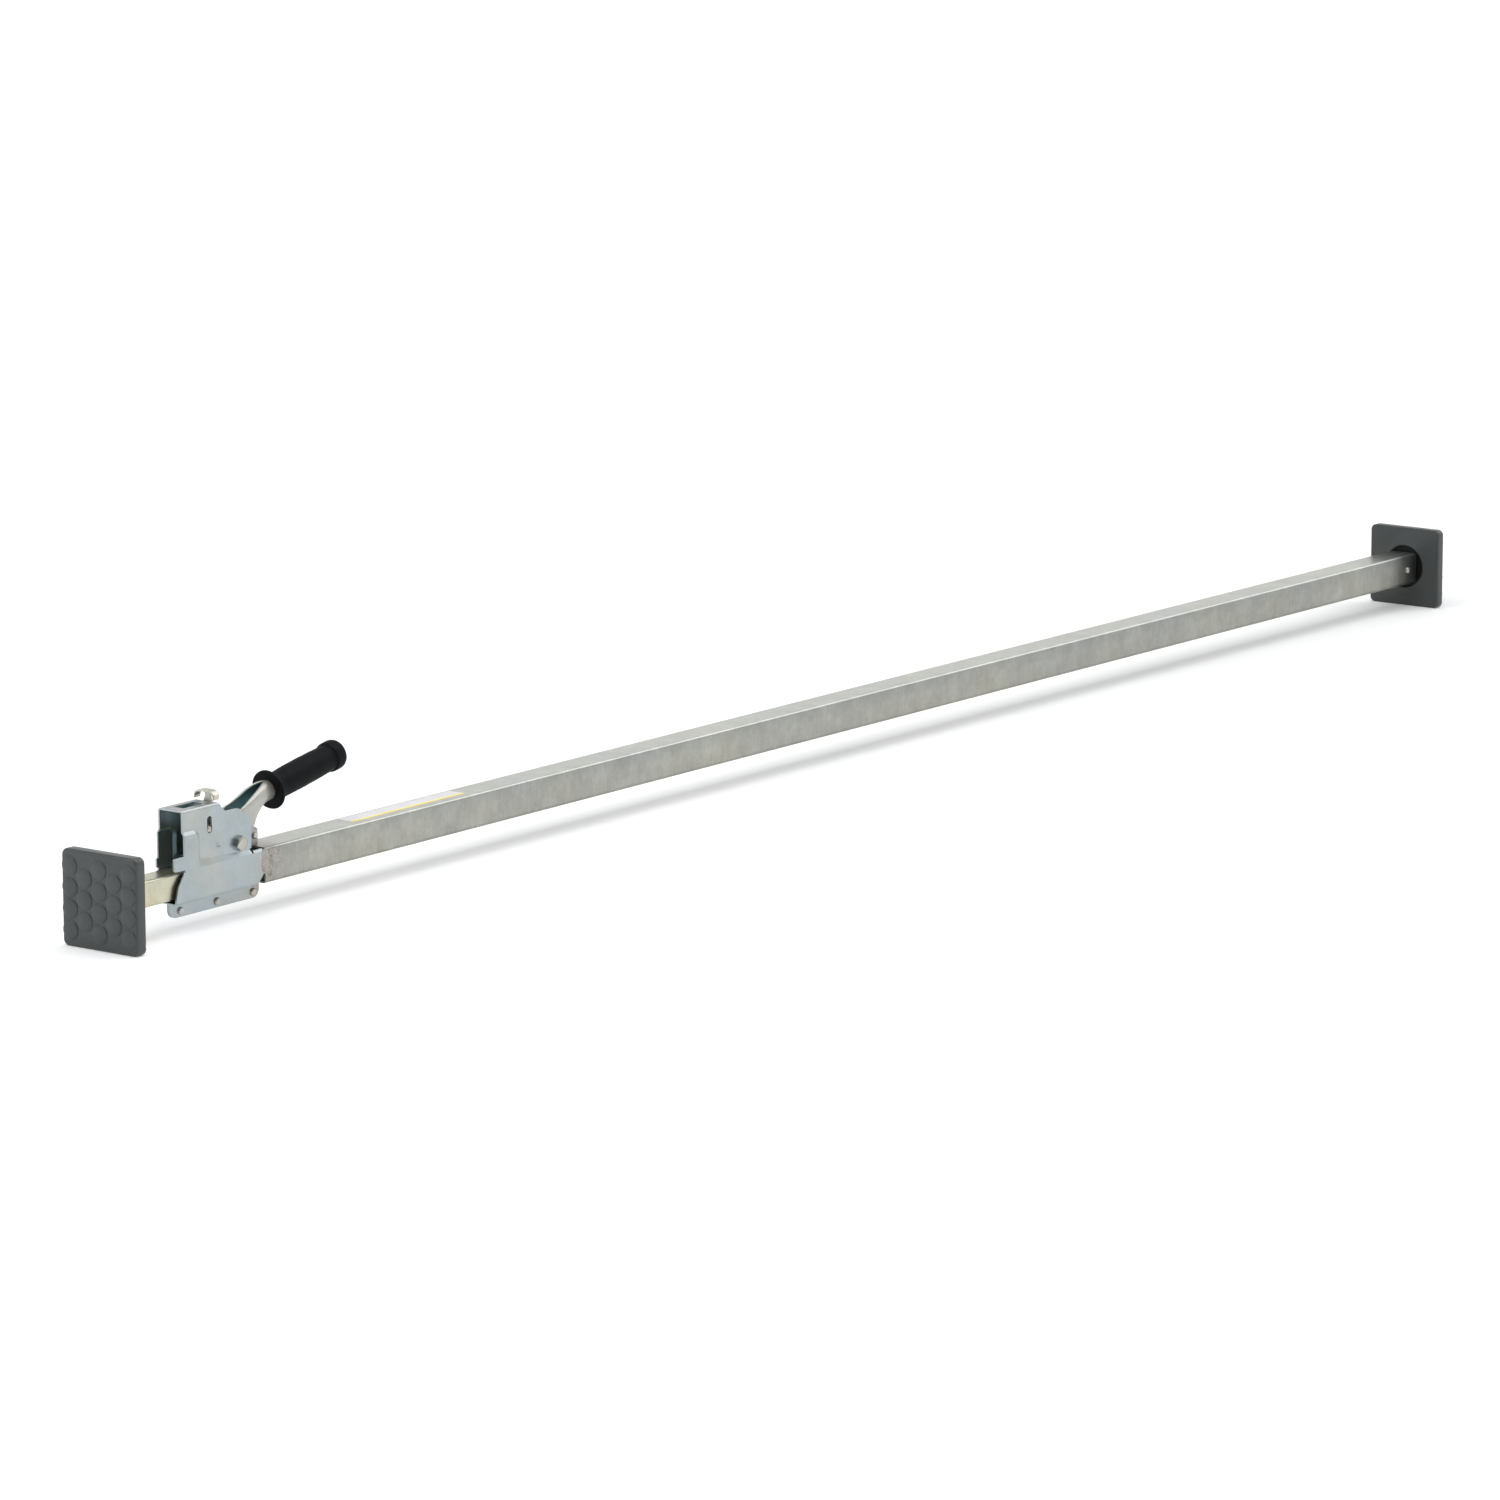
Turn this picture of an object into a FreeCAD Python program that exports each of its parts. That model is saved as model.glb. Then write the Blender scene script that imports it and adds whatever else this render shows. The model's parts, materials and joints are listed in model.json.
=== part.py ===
import FreeCAD, Part
import math
import os

# Telescoping cargo bar: a square outer tube with a fixed swivel foot, a square inner tube with a
# sliding swivel foot, and between them a riveted sheet-metal jack housing with a lever and a release.
#
# All shapes are drawn in the bar's working frame, in mm: x runs from 0 at the sliding foot's gripping
# face to bar_length at the fixed foot's, y is across the bar, and z is up from the bar's axis. export()
# moves each piece to the part's own frame: the origin is midway between the feet, on the surface that
# their lower edges stand on, with +X along the bar and +Z up.

os.makedirs("parts", exist_ok=True)
V = FreeCAD.Vector

# ---- driving dimensions ----
bar_length = 2527.0         # between the gripping faces, as stored
outer_side = 38.1           # outer tube, 1.5 in square
outer_wall = 2.0
outer_corner = 3.0
outer_start = 237.0         # front end of the outer tube
inner_side = 28.0           # inner tube
inner_wall = 2.0
inner_corner = 3.0
inner_end = 640.0           # the inner tube's end inside the outer tube
running_gap = 0.05          # each side of a sliding fit
pivot_gap = 0.07            # radial clearance of a pin in its bore

pad_side = 101.6            # rubber foot, 4 in square
pad_thickness = 13.8        # without the studs
pad_corner = 7.0
pad_front_rim = 2.2
pad_back_rim = 1.0
stud_height = 1.5
stud_radius = 10.2
stud_pitch_y = 19.8
stud_pitch_z = 22.3
recess_radius = 26.8        # round pocket in the pad's back
recess_depth = 7.0
foot_plate = 3.0
foot_rivet_offset = 37.9    # gripping face to the swivel rivet's axis
foot_gap = 2.2              # pad's back to the tube's end

sheet = 2.0                 # jack housing's sheet thickness
half_upper = 16.45          # outer half width of the jack housing's upper box
half_lower = outer_side / 2 # outer half width of its lower part, flush with the tube
box_front = 111.5
box_rear = 168.5
box_top = 78.0
seam = 0.2                  # gap between the two folded layers where they meet
flange_half = sheet + seam / 2
flange_rivets_x = (122.3, 179.2, 235.8)
flange_rivet_z = -29.8
tail_rivet = (240.0, 29.5)
rivet_shank = 2.4
flange_rivet_head = (4.2, 2.4)  # a rivet head's radius and rise
tail_rivet_head = (3.8, 2.2)
sliding_foot_rivet_head = (3.6, 1.6)   # low, to pass inside the housing
fixed_foot_rivet_head = (4.2, 3.0)
dimple_ball = 5.0           # radius of the ball that the dimples are pressed with
dimple_depth = 1.1

pivot = (198.8, 30.0)       # lever pivot, x and z
pivot_radius = 4.76         # 3/8 in bolt
drive_arm = 11.0            # lever pivot to the drive pin
drive_angle = 245.0         # direction of the drive pin from the pivot, degrees from +x
drive_pin_radius = 2.5
pawl_length = 22.0

slot_x = 153.5              # the release's vertical guide slots
slot_low = 51.9
slot_high = 62.3
slot_radius = 3.8
cross_pin_radius = 3.3
cross_pin_z = 52.0
stop_pin = (166.5, 33.5)
stop_pin_radius = 2.5
bow_top = 90.0              # top of the release's finger bar

lever_half = 13.0           # outer half width of the lever's channel
lever_sheet = 2.5
neck_radius = 10.4
grip_start = (263.5, 73.1)  # centre of the grip's front face, x and z
grip_slope = 11.1           # grip axis above the bar's axis, degrees
grip_length = 116.6
core_radius = 9.5

frame_shift = V(-bar_length / 2, 0, pad_side / 2)
grip_turn = FreeCAD.Rotation(V(0, 1, 0), -grip_slope)
grip_placement = FreeCAD.Placement(V(grip_start[0], 0, grip_start[1]), grip_turn)


# ---- geometry helpers ----
def corner_points(points):
    """Yield each corner of a closed outline as its arc's start, middle and end, all equal when sharp."""
    count = len(points)
    for i in range(count):
        corner = V(points[i][0], points[i][1], 0)
        radius = points[i][2] if len(points[i]) > 2 else 0
        if not radius:
            yield corner, corner, corner
            continue
        before = V(points[i - 1][0], points[i - 1][1], 0) - corner
        after = V(points[(i + 1) % count][0], points[(i + 1) % count][1], 0) - corner
        before.normalize()
        after.normalize()
        half = before.getAngle(after) / 2
        reach = radius / math.tan(half)
        inward = before + after
        inward.normalize()
        middle = corner + inward * (radius / math.sin(half) - radius)
        yield corner + before * reach, middle, corner + after * reach


def outline(points, place):
    """A closed wire through corners (a, b) or (a, b, fillet radius), put in space by place(a, b)."""
    corners = [[place(p.x, p.y) for p in c] for c in corner_points(points)]
    edges = []
    for i, (start, middle, end) in enumerate(corners):
        if (end - start).Length > 1e-6:
            edges.append(Part.Arc(start, middle, end).toShape())
        following = corners[(i + 1) % len(corners)][0]
        if (following - end).Length > 1e-6:
            edges.append(Part.LineSegment(end, following).toShape())
    return Part.Wire(edges)


def side_plate(points, y_from, y_to):
    """A plate seen from the side: an x, z outline extruded across the bar."""
    wire = outline(points, lambda x, z: V(x, y_from, z))
    return Part.Face(wire).extrude(V(0, y_to - y_from, 0))


def flat_plate(points, z_from, z_to):
    """A plate seen from above: an x, y outline extruded upwards."""
    wire = outline(points, lambda x, y: V(x, y, z_from))
    return Part.Face(wire).extrude(V(0, 0, z_to - z_from))


def along_bar(points, x_from, x_to):
    """A y, z section extruded along the bar."""
    wire = outline(points, lambda y, z: V(x_from, y, z))
    return Part.Face(wire).extrude(V(x_to - x_from, 0, 0))


def square_bar(side, corner, x_from, x_to):
    h = side / 2
    return along_bar([(-h, -h, corner), (h, -h, corner), (h, h, corner), (-h, h, corner)], x_from, x_to)


def square_tube(side, wall, corner, x_from, x_to):
    bore = square_bar(side - 2 * wall, corner - wall, x_from, x_to)
    return square_bar(side, corner, x_from, x_to).cut(bore)


def box(x_from, x_to, y_from, y_to, z_from, z_to):
    return Part.makeBox(x_to - x_from, y_to - y_from, z_to - z_from, V(x_from, y_from, z_from))


def cross_rod(x, z, radius, y_from, y_to):
    """A round rod across the bar."""
    return Part.makeCylinder(radius, y_to - y_from, V(x, y_from, z), V(0, 1, 0))


def fused(shapes):
    """The shapes as one solid, with no faces left split."""
    whole = shapes[0].multiFuse(shapes[1:]) if len(shapes) > 1 else shapes[0]
    return whole.removeSplitter()


def both_sides(shape):
    """The shape and its mirror image across the bar's middle plane."""
    return [shape, shape.mirror(V(0, 0, 0), V(0, 1, 0))]


def rivet(x, z, half_grip, head):
    """A rivet across the bar, with a flat head with a rolled edge at each end of its grip."""
    radius, rise = head
    cap = cross_rod(x, z, radius, half_grip, half_grip + rise)
    rim = [e for e in cap.Edges if abs(e.CenterOfMass.y - half_grip - rise) < 1e-6]
    cap = cap.makeFillet(0.6 * rise, rim)
    return fused([cross_rod(x, z, rivet_shank, -half_grip, half_grip)] + both_sides(cap))


def upright_slot(x, z_low, z_high, radius, reach):
    """A cutter for a vertical slot with round ends, through the whole width."""
    ends = [cross_rod(x, z, radius, -reach, reach) for z in (z_low, z_high)]
    return box(x - radius, x + radius, -reach, reach, z_low, z_high).multiFuse(ends)


def coil(radius, wire, pitch, turns, base, axis):
    """A helical spring coil of round wire, standing on base along axis."""
    helix = Part.makeHelix(pitch, pitch * turns, radius)
    section = Part.Wire(Part.makeCircle(wire, V(radius, 0, 0), V(0, 1, 0)))
    spring = Part.Wire(helix).makePipeShell([section], True, True)
    spring.Placement = FreeCAD.Placement(base, FreeCAD.Rotation(V(0, 0, 1), axis))
    return spring


def export(name, shape):
    """Write one node, moved from the working frame to the part's frame."""
    placed = shape.copy()
    placed.translate(frame_shift)
    if not placed.isValid():
        print("invalid:", name)
    print(f"{name:22s} solids {len(placed.Solids):2d}  volume {placed.Volume:12.1f}")
    placed.exportStep(f"parts/{name}.step")


# ---- tubes and guides ----
def make_outer_tube():
    end = bar_length - stud_height - pad_thickness - foot_gap
    tube = square_tube(outer_side, outer_wall, outer_corner, outer_start, end)
    half = outer_side / 2
    hole = cross_rod(bar_length - foot_rivet_offset, 0, rivet_shank, -half - 1, half + 1)
    return tube.cut(hole)


def make_inner_tube():
    start = stud_height + pad_thickness + foot_gap
    tube = square_tube(inner_side, inner_wall, inner_corner, start, inner_end)
    half = inner_side / 2
    return tube.cut(cross_rod(foot_rivet_offset, 0, rivet_shank, -half - 1, half + 1))


def make_end_glide():
    """Nylon plug in the inner tube's end, whose shoulder runs in the outer tube."""
    shoulder = outer_side - 2 * (outer_wall + running_gap)
    spigot = inner_side - 2 * inner_wall
    plug = square_bar(spigot, inner_corner - inner_wall, inner_end - 18, inner_end)
    return fused([plug, square_bar(shoulder, 1.0, inner_end, inner_end + 8)])


def make_mouth_bush():
    """Nylon collar pressed into the outer tube's mouth, around the inner tube."""
    collar = square_bar(outer_side - 2 * outer_wall, outer_corner - outer_wall, 239, 263)
    return collar.cut(square_bar(inner_side + 2 * running_gap, inner_corner, 238, 264))


def make_lower_guide():
    """Nylon trough in the jack housing's floor, in which the inner tube slides."""
    half = half_lower - sheet
    trough = along_bar([(-half, -half, 1.5), (half, -half, 1.5), (half, 9), (-half, 9)], 126, 222)
    return trough.cut(square_bar(inner_side + 2 * running_gap, inner_corner, 120, 230))


# ---- jack housing ----
def plate_outline():
    """Side view of the housing's walls, from the front's top corner round by the rear."""
    return [
        (box_front, box_top), (box_rear, box_top, 3), (174.5, 70, 4), (180, 67, 3), (199, 67, 14),
        (218, 54, 14), (218, 21.5, 1), (215, 21.5, 1), (218.5, 13, 1), (219.5, 18.5, 1),
        (234, 18.5), (234, -8.2, 1), (224, -half_lower, 1), (97, -half_lower, 4), (98, -12, 6),
        (101, 0, 10), (112.6, 14, 4), (box_front, 18, 1),
    ]


def blister_outline(front, bottom, rear, grow):
    """Side view of the wider lower part: below the long joggle, and in front of the short one."""
    return [
        (front, bottom), (front, 52 + grow), (133.5 + grow, 52 + grow, 7 + grow),
        (133.5 + grow, 16 + 2.2 * grow, 5), (rear, 16 + 0.8 * grow), (rear, bottom),
    ]


def widened(inset, front, bottom, rear):
    """The lower part's bulge on the near side, tapering in where it joins the narrower box."""
    joggle = 3.5
    y_box = -(half_upper - inset)
    y_out = -(half_lower - inset)
    base = outline(blister_outline(front, bottom, rear, joggle), lambda x, z: V(x, y_box, z))
    face = outline(blister_outline(front, bottom, rear, 0), lambda x, z: V(x, y_out, z))
    return Part.makeLoft([base, face], True, True)


def tail_plan(half_wide, half_narrow, x_front, x_bend, x_meet, x_rear):
    """Plan view of the rear, where the walls draw in to meet on the middle plane."""
    return [
        (x_front, half_wide), (x_bend, half_wide, 3), (x_meet, half_narrow, 3), (x_rear, half_narrow),
        (x_rear, -half_narrow), (x_meet, -half_narrow, 3), (x_bend, -half_wide, 3), (x_front, -half_wide),
    ]


def make_housing():
    """One sheet folded over the top, wrapped under the tube and riveted along a bottom flange."""
    reach = 60.0
    floor = -half_lower + sheet
    section = [
        (-half_lower, -half_lower, 4), (half_lower, -half_lower, 4), (half_lower, 60), (half_upper, 60),
        (half_upper, box_top, 3.2), (-half_upper, box_top, 3.2), (-half_upper, 60), (-half_lower, 60),
    ]
    walls = side_plate(plate_outline(), -reach, reach)
    core = box(80, 250, -half_upper, half_upper, -half_lower, box_top)
    skin = fused([core] + both_sides(widened(0, 80, -half_lower, 250)))
    skin = skin.common(along_bar(section, 80, 250)).common(walls)
    tab_side = [(95, 31, 2), (112, 31), (112, 16.5), (95, 17, 2)]
    front_tab = side_plate(tab_side, -half_lower, -half_lower + sheet)
    far_lip = side_plate([(109, 25, 1), (112, 25), (112, 15), (109, 15, 1)], half_lower - sheet, half_lower)
    tail = flat_plate(tail_plan(half_upper, flange_half, 208, 217, 233, 244.7), 19.4, 40)
    tail_side = [(205, 21.5), (205, 40), (238, 40), (244.7, 36), (244.7, 19.4), (231, 19.4), (229, 21.5)]
    tail = tail.common(side_plate(tail_side, -reach, reach))
    flange_side = [
        (106, -18), (106, -36.2, 10), (245.5, -36.2, 10), (245.5, -19.4, 3), (226, -19.4), (226, -18),
    ]
    flange = side_plate(flange_side, -flange_half, flange_half)
    solid = fused([skin, front_tab, far_lip, tail, flange])

    half_in = half_upper - sheet
    hollow_side = [
        (70, floor), (70, box_top - sheet), (box_rear + 0.9, box_top - sheet), (box_rear + 0.9, 100),
        (260, 100), (260, floor),
    ]
    hollow = side_plate(hollow_side, -half_in, half_in)
    tail_zone = box(216.5, 260, -reach, reach, 19.3, 41)
    hollow = hollow.cut(tail_zone)
    tail_hollow = flat_plate(tail_plan(half_in, seam / 2, 205, 216.2, 232, 260), 19.3, 41)
    blisters = [shape.cut(tail_zone) for shape in both_sides(widened(sheet, 70, floor, 250))]
    shell = solid.cut(hollow.multiFuse(blisters + [tail_hollow]))
    cuts = [
        box(90, 260, -seam / 2, seam / 2, -40, floor + 1),
        box(124, 156, -7.2, 7.2, box_top - 4, box_top + 1),
        cross_rod(pivot[0], pivot[1], pivot_radius + pivot_gap, -reach, reach),
        cross_rod(tail_rivet[0], tail_rivet[1], rivet_shank, -reach, reach),
        upright_slot(slot_x, slot_low, slot_high, slot_radius, reach),
    ]
    cuts += [cross_rod(x, flange_rivet_z, rivet_shank, -reach, reach) for x in flange_rivets_x]
    dimple_y = half_upper - dimple_depth + dimple_ball
    cuts += both_sides(Part.makeSphere(dimple_ball, V(stop_pin[0], dimple_y, stop_pin[1])))
    for cutter in cuts:
        shell = shell.cut(cutter)
    return shell


# ---- fasteners ----
def make_flange_rivets():
    rivets = [rivet(x, flange_rivet_z, flange_half, flange_rivet_head) for x in flange_rivets_x]
    return Part.Compound(rivets)


def make_tail_rivet():
    return rivet(tail_rivet[0], tail_rivet[1], flange_half, tail_rivet_head)


def make_weld_beads():
    """A bead across each side, where the housing's tongue meets the tube's end."""
    beads = []
    for side in (-1, 1):
        y = side * (half_lower - 1.2)
        bead = Part.makeCylinder(1.9, 25.5, V(235.5, y, -7.5), V(0, 0, 1))
        room = box(234, outer_start, -half_lower - 0.9, half_lower + 0.9, -9, 19)
        beads.append(bead.common(room))
    return Part.Compound(beads)


def hexagon(across_flats, x, z, y_from, y_to):
    corner = across_flats / math.sqrt(3)
    turns = [math.radians(60 * i + 15) for i in range(6)]
    return side_plate([(x + corner * math.cos(t), z + corner * math.sin(t)) for t in turns], y_from, y_to)


def make_pivot_bolt():
    head_height = 6.0
    head = hexagon(14.3, pivot[0], pivot[1], -half_upper - head_height, -half_upper)
    ball = Part.makeSphere(17.5, V(pivot[0], -half_upper - head_height + 16.6, pivot[1]))
    shank = cross_rod(pivot[0], pivot[1], pivot_radius, -half_upper, half_upper + 9.5)
    return fused([head.common(ball), shank])


def make_pivot_nut():
    nut = hexagon(14.3, pivot[0], pivot[1], half_upper, half_upper + 7.5)
    return nut.cut(cross_rod(pivot[0], pivot[1], pivot_radius, 0, 40))


def make_pivot_washers():
    """Thin washers between the lever's cheeks and the housing's walls."""
    gap = 0.1
    washer = cross_rod(pivot[0], pivot[1], 9, -half_upper + sheet, -lever_half - gap)
    washer = washer.cut(cross_rod(pivot[0], pivot[1], pivot_radius + pivot_gap, -40, 0))
    return Part.Compound(both_sides(washer))


def make_stop_pin():
    """Fixed rod between the housing's walls: the release spring's lower anchor."""
    half = half_upper - sheet
    return cross_rod(stop_pin[0], stop_pin[1], stop_pin_radius, -half, half)


def make_foot_rivet(tube_side, x, head):
    return rivet(x, 0, tube_side / 2, head)


# ---- feet, drawn at the sliding end with the gripping face at x = 0 ----
def make_pad():
    """Rubber pad with round grip studs in front and a round pocket behind."""
    h = pad_side / 2
    back = stud_height + pad_thickness
    square = [(-h, -h, pad_corner), (h, -h, pad_corner), (h, h, pad_corner), (-h, h, pad_corner)]
    slab = along_bar(square, stud_height, back)
    slab = slab.makeFillet(pad_front_rim, [e for e in slab.Edges if abs(e.CenterOfMass.x - stud_height) < 1e-6])
    slab = slab.makeFillet(pad_back_rim, [e for e in slab.Edges if abs(e.CenterOfMass.x - back) < 1e-6])
    studs = []
    for column in range(-2, 3):
        count = 3 if column % 2 else 4
        for row in range(count):
            y = column * stud_pitch_y
            z = (row - (count - 1) / 2) * stud_pitch_z
            studs.append(Part.makeCylinder(stud_radius, stud_height + 1, V(0, y, z), V(1, 0, 0)))
    pocket = Part.makeCylinder(recess_radius, recess_depth, V(back - recess_depth, 0, 0), V(1, 0, 0))
    return slab.multiFuse(studs).removeSplitter().cut(pocket)


def make_foot_stem(bore_side):
    """Steel disc bonded in the pad's pocket, with a tongue that swivels on a rivet in the tube."""
    floor = stud_height + pad_thickness - recess_depth
    disc = Part.makeCylinder(recess_radius - running_gap, foot_plate, V(floor, 0, 0), V(1, 0, 0))
    half_y = bore_side / 2 - 1.5
    half_z = bore_side / 2 - 3.6
    tongue = box(floor + 1, foot_rivet_offset + 11, -half_y, half_y, -half_z, half_z)
    tip = [e for e in tongue.Edges if abs(e.CenterOfMass.x - foot_rivet_offset - 11) < 1e-6]
    tongue = tongue.makeFillet(2, [e for e in tip if abs(e.CenterOfMass.z) > 1])
    bore = cross_rod(foot_rivet_offset, 0, rivet_shank + pivot_gap, -half_y - 1, half_y + 1)
    return fused([disc, tongue]).cut(bore)


def at_fixed_end(shape):
    """The same foot at the other end of the bar, facing the other way."""
    return shape.mirror(V(bar_length / 2, 0, 0), V(1, 0, 0))


# ---- lever ----
def along_grip(distance, offset=0.0):
    """The x and z of a point on the grip's axis, or offset above it."""
    angle = math.radians(grip_slope)
    x = grip_start[0] + distance * math.cos(angle) - offset * math.sin(angle)
    z = grip_start[1] + distance * math.sin(angle) + offset * math.cos(angle)
    return x, z


def lever_outline(inset):
    """Side view of the lever's channel. The inset version leaves the rear web's thickness."""
    neck_top = along_grip(0, neck_radius)
    neck_low = along_grip(0, -neck_radius + inset)
    if inset:
        return [
            (150, 0), (150, 110), (256, 110), along_grip(-5, 4), along_grip(-9, -neck_radius + inset),
            (240.5 - inset, 60 + inset * 0.9, 22), (228.4 - inset, 40), (222, 25), (222, 0),
        ]
    return [
        (186, 15, 14.9), (186, 38, 12), (203.5, 65.5, 4), (227, 73, 30), (248, 84.2, 8), neck_top,
        neck_low, (238.5, 60, 24), (229.2, 41.8, 2), (216, 41.4, 3), (216, 15, 14.9),
    ]


def lever_plan(half_hub, half_neck, bend):
    """Plan view of the lever: parallel cheeks that draw in to the round neck."""
    end = grip_start[0] + 5
    return [
        (150, -half_hub), (236, -half_hub, bend), (257, -half_neck, bend), (end, -half_neck),
        (end, half_neck), (257, half_neck, bend), (236, half_hub, bend), (150, half_hub),
    ]


def grip_rod(radius, start, length):
    x, z = along_grip(start)
    angle = math.radians(grip_slope)
    return Part.makeCylinder(radius, length, V(x, 0, z), V(math.cos(angle), 0, math.sin(angle)))


def make_lever():
    """Pressed steel channel: two cheeks on the pivot, a rear web, and a round neck into the grip."""
    solid = side_plate(lever_outline(0), -lever_half, lever_half)
    solid = solid.common(flat_plate(lever_plan(lever_half, neck_radius, 30), 0, 120))
    cone = [V(-150, 0, 0), V(-150, 120, 0), V(-4, neck_radius, 0), V(9, neck_radius, 0), V(9, 0, 0)]
    turned = Part.Face(Part.makePolygon(cone + cone[:1])).revolve(V(0, 0, 0), V(1, 0, 0), 360)
    turned.Placement = grip_placement
    solid = solid.common(turned)
    hollow = side_plate(lever_outline(lever_sheet), -40, 40)
    inner_plan = lever_plan(lever_half - lever_sheet, 1.2, 12)
    hollow = hollow.common(flat_plate(inner_plan, -5, 120))
    channel = solid.cut(hollow)
    core = grip_rod(core_radius, -4, grip_length - 10).cut(grip_rod(core_radius - 2.2, 6, grip_length))
    drive = drive_pin_place()
    holes = [
        cross_rod(pivot[0], pivot[1], pivot_radius + pivot_gap, -40, 40),
        cross_rod(drive[0], drive[1], drive_pin_radius, -40, 40),
    ]
    return channel.fuse(core).cut(holes[0]).cut(holes[1])


def make_grip():
    """Moulded rubber grip with a guard collar in front and a rolled rim at the end."""
    up = [
        (0, core_radius), (0, 20.1), (1.3, 21.4), (3.9, 21.4), (5.2, 20.1),
    ]
    straight = Part.makePolygon([V(s, r, 0) for s, r in up])
    barrel = Part.BSplineCurve()
    waist = [(5.2, 20.1), (8, 15.4), (16, 14.7), (40, 15.2), (62, 15.2), (84, 14.8), (97, 14.6)]
    barrel.interpolate([V(s, r, 0) for s, r in waist])
    rim = Part.BSplineCurve()
    rim_points = [
        (97, 14.6), (101, 15.8), (105, 16.4), (110, 16.2), (114.6, 13.2), (116.3, 7.5), (grip_length, 0),
    ]
    rim.interpolate([V(s, r, 0) for s, r in rim_points])
    bore_end = grip_length - 13
    bore = [V(grip_length, 0, 0), V(bore_end, 0, 0), V(bore_end, core_radius, 0), V(0, core_radius, 0)]
    close = Part.makePolygon(bore)
    wire = Part.Wire(straight.Edges + [barrel.toShape(), rim.toShape()] + close.Edges)
    solid = Part.Face(wire).revolve(V(0, 0, 0), V(1, 0, 0), 360)
    solid = Part.Solid(solid) if solid.ShapeType == "Shell" else solid
    solid.Placement = grip_placement
    return solid


def make_pivot_bush():
    half = lever_half - lever_sheet
    bush = cross_rod(pivot[0], pivot[1], 6.0, -half, half)
    return bush.cut(cross_rod(pivot[0], pivot[1], pivot_radius + pivot_gap, -40, 40))


def drive_pin_place():
    angle = math.radians(drive_angle)
    return pivot[0] + drive_arm * math.cos(angle), pivot[1] + drive_arm * math.sin(angle)


def make_drive_pin():
    x, z = drive_pin_place()
    return cross_rod(x, z, drive_pin_radius, -lever_half, lever_half)


def serrated_foot(x, z, teeth, half_width):
    """A row of small teeth that points down, with its tips at height z."""
    pitch = 2.0
    rise = 1.1
    points = [(x, z + 4), (x, z + rise)]
    for i in range(teeth):
        points.append((x + (i + 0.5) * pitch, z))
        points.append((x + (i + 1) * pitch, z + rise))
    points.append((x + teeth * pitch, z + 4))
    return side_plate(points, -half_width, half_width)


def make_drive_pawl():
    """Bar that the lever pushes: an eye on the drive pin and a serrated foot over the inner tube."""
    x, z = drive_pin_place()
    foot_x = x - pawl_length
    top = inner_side / 2
    half = 5.0
    arm_side = [(foot_x - 1, top + 1.9), (foot_x - 1, top + 6, 2), (x, z + 3.4), (x, z - 3.4)]
    arm = side_plate(arm_side, -half, half)
    eye = cross_rod(x, z, 4.3, -half, half)
    foot = serrated_foot(foot_x - 1, top + 0.8, 4, half)
    return fused([arm, eye, foot]).cut(cross_rod(x, z, drive_pin_radius + 0.06, -40, 40))


def make_drive_pawl_spring():
    x, z = drive_pin_place()
    return coil(3.4, 0.5, 1.25, 3, V(x, 5.7, z), V(0, 1, 0))


# ---- release and lock ----
def make_release_handle():
    """Pressed T: a flared stem behind the box's top, carrying a bowed finger bar across it."""
    stem_x = 169.6
    stem_out = [(-6, 58), (-6, 72, 4), (-5.8, 77, 3), (-3.4, 83.5, 5), (-4.6, 88.5)]
    stem_points = stem_out + [(-y, z) for y, z, *_ in reversed(stem_out)]
    stem = along_bar([(p[0], p[1]) for p in stem_points], stem_x, stem_x + 2)
    bow = [
        (-14.4, 80.4, 0.8), (-14.6, 85.2, 5), (-8.6, bow_top, 9), (8.6, bow_top, 9), (14.6, 85.2, 5),
        (14.4, 80.4, 0.8), (12.5, 80.1, 0.8), (12.4, 84.4, 4), (7.8, bow_top - 2, 8),
        (-7.8, bow_top - 2, 8), (-12.4, 84.4, 4), (-12.5, 80.1, 0.8),
    ]
    front = 163.4
    rear = 172.8
    bar = along_bar(bow, front, rear)
    ends = flat_plate([(front, -15, 3), (rear, -15, 3), (rear, 15, 3), (front, 15, 3)], 70, 100)
    return fused([stem, bar.common(ends)])


def make_release_carrier():
    """Bent shelf under the box's top, with two lugs down to the cross pin."""
    shelf = flat_plate([(146.5, -7, 1), (169.6, -7), (169.6, 7), (146.5, 7, 1)], 58, 60)
    foot = box(167.6, 169.6, -6, 6, 60, 66)
    lug = side_plate([(147.5, 59), (147.5, 46, 5), (159.5, 46, 5), (159.5, 59)], -7, -5)
    bore = cross_rod(slot_x, cross_pin_z, cross_pin_radius, -20, 20)
    return fused([shelf, foot] + both_sides(lug)).cut(bore)


def make_cross_pin():
    return cross_rod(slot_x, cross_pin_z, cross_pin_radius, -16.9, 16.9)


def make_release_spring():
    """Tension coil from the stop pin up to the carrier's shelf, with straight hooked ends."""
    x, z = stop_pin
    low = z + stop_pin_radius
    body = coil(2.7, 0.5, 1.3, 11, V(x, 0, low + 3), V(0, 0, 1))
    hooks = [
        Part.makeCylinder(0.5, 3.2, V(x + 2.7, 0, low), V(0, 0, 1)),
        Part.makeCylinder(0.5, 58 - low - 17.3 + 0.2, V(x + 2.7, 0, low + 17.1), V(0, 0, 1)),
    ]
    return body.multiFuse(hooks)


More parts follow.
